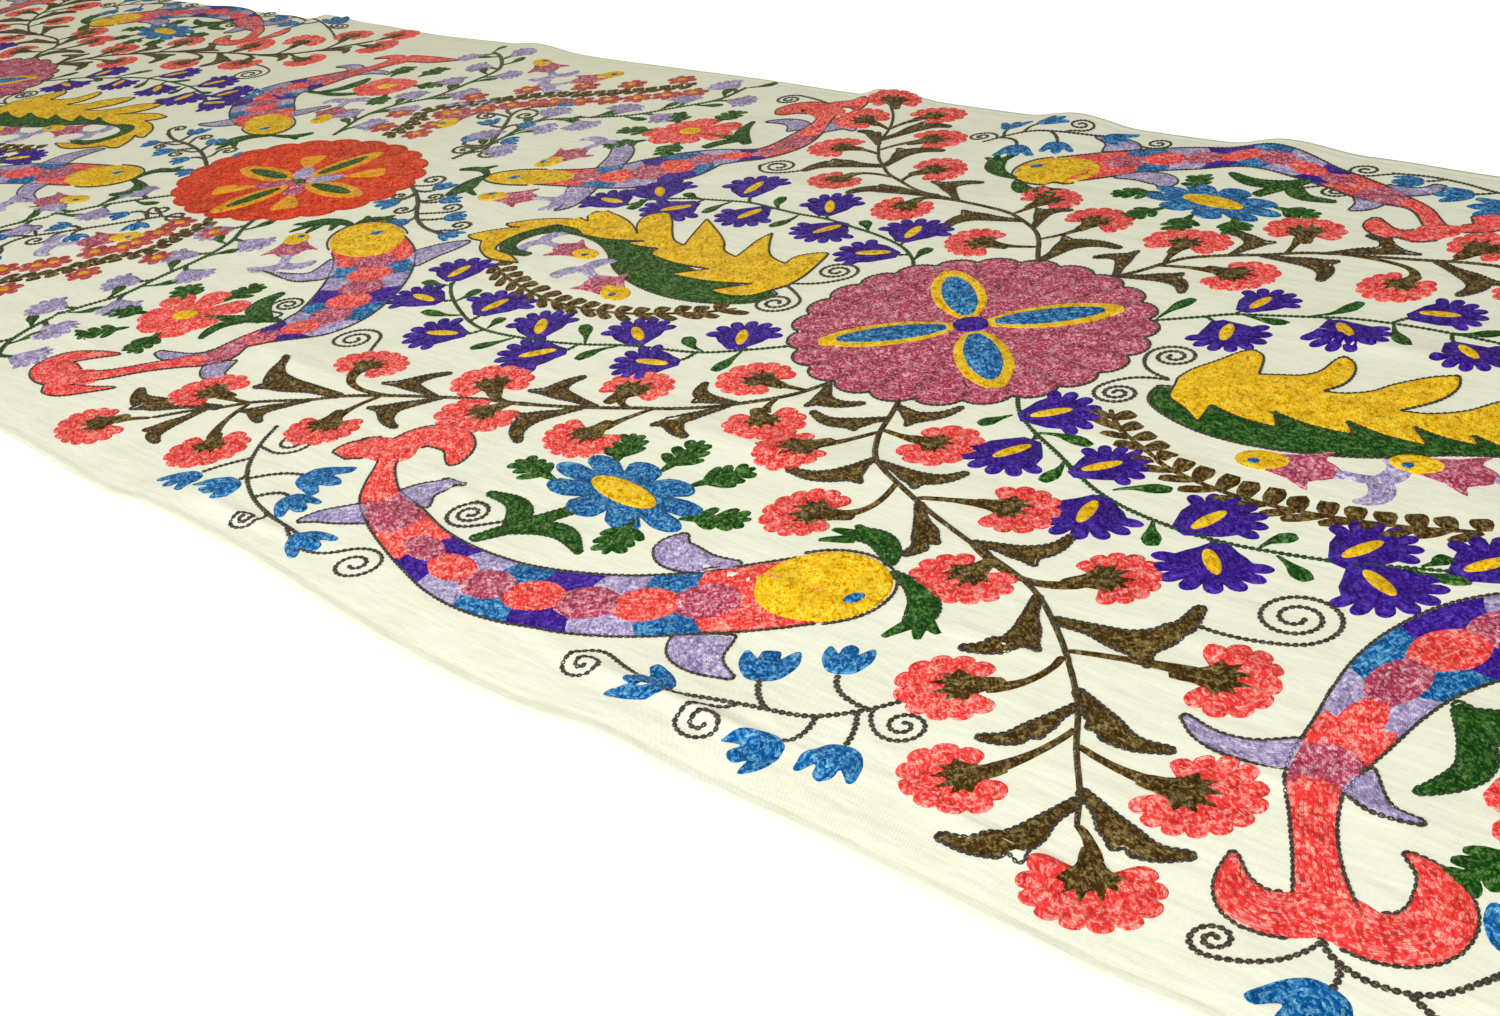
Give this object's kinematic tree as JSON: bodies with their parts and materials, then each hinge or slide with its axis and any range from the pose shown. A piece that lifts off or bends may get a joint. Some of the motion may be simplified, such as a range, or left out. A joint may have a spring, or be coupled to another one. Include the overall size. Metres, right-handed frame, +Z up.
{
  "type": "embroidered fabric panel",
  "caption": "Long strip of cream cotton, laid flat with soft ripples at its edges, covered in chain-stitched flowers, vines, paisleys and fish.",
  "frame": {"origin": "bottom centre of the laid strip, on the surface it lies on, under the middle medallion", "axes": "+Z up from the surface, +X along the strip, +Y towards the long edge with the higher ripples"},
  "size_m": [3.2197, 1.0499, 0.01],
  "materials": {
    "cotton_cream": "plain woven cream cotton, matte",
    "thread_coral": "glossy embroidery thread, chain stitched",
    "thread_mauve": "glossy embroidery thread, chain stitched",
    "thread_lilac": "glossy embroidery thread, chain stitched",
    "thread_purple": "glossy embroidery thread, chain stitched",
    "thread_blue": "glossy embroidery thread, chain stitched",
    "thread_gold": "glossy embroidery thread, chain stitched",
    "thread_green": "glossy embroidery thread, chain stitched",
    "thread_olive": "glossy embroidery thread, chain stitched",
    "thread_red_orange": "glossy embroidery thread, chain stitched",
    "thread_charcoal": "glossy embroidery thread, chain stitched"
  },
  "bodies": {
    "root": {"cloth": "cotton_cream"}
  },
  "joints": []
}
